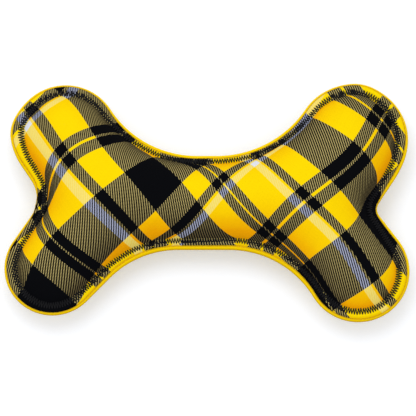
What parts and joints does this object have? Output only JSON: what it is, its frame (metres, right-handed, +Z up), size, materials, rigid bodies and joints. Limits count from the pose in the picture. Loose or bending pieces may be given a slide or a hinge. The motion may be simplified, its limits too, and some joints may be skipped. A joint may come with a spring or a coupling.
{
  "type": "squeaky dog toy",
  "caption": "Bone-shaped stuffed fabric dog toy with a tartan front, a plain yellow back, black zigzag topstitching and a bellows squeaker inside.",
  "frame": {"origin": "on the table, under the middle of the toy's box", "axes": "+X along the bone, to the right as the tartan front is seen; +Y across it, to the upper lobes; +Z up, out of the tartan front"},
  "size_m": [0.2552, 0.1532, 0.0464],
  "materials": {
    "tartan_cloth": "yellow and black tartan twill, slightly napped",
    "yellow_cloth": "plain twill",
    "black_thread": "polyester sewing thread",
    "yellow_thread": "polyester sewing thread",
    "fibre_fill": "loose polyester fibre",
    "squeaker_plastic": "soft blow-moulded plastic",
    "reed_plastic": "thin clear sheet"
  },
  "bodies": {
    "toy_body": {"front_panel": "tartan_cloth", "back_panel": "yellow_cloth", "seam_thread": "yellow_thread", "topstitch_needle_thread": "black_thread", "topstitch_bobbin_thread": "black_thread", "upper_left_lobe_fill": "fibre_fill", "lower_left_lobe_fill": "fibre_fill", "upper_right_lobe_fill": "fibre_fill", "lower_right_lobe_fill": "fibre_fill", "left_shaft_fill": "fibre_fill", "right_shaft_fill": "fibre_fill", "back_wad": "fibre_fill", "squeaker_base": "squeaker_plastic", "squeaker_bellows": "squeaker_plastic", "reed_plug": "squeaker_plastic", "reed_seat": "squeaker_plastic", "reed_clamp": "squeaker_plastic"},
    "squeaker_top": {"squeaker_crown": "squeaker_plastic", "front_wad": "fibre_fill"},
    "reed": {"reed_tongue": "reed_plastic"}
  },
  "joints": [
    {"name": "squeeze", "type": "slide", "parent": "toy_body", "child": "squeaker_top", "axis": [0, 0, -1], "range_m": [0, 0.007], "stiffness_N_per_m": 1200, "deforming": ["squeaker_bellows", "front_panel"]},
    {"name": "reed_flutter", "type": "hinge", "parent": "toy_body", "child": "reed", "pos_m": [-0.00028, 0, 0.0106], "axis": [0, -1, 0], "range_deg": [0, 6], "stiffness_Nm_per_rad": 0.00002}
  ]
}
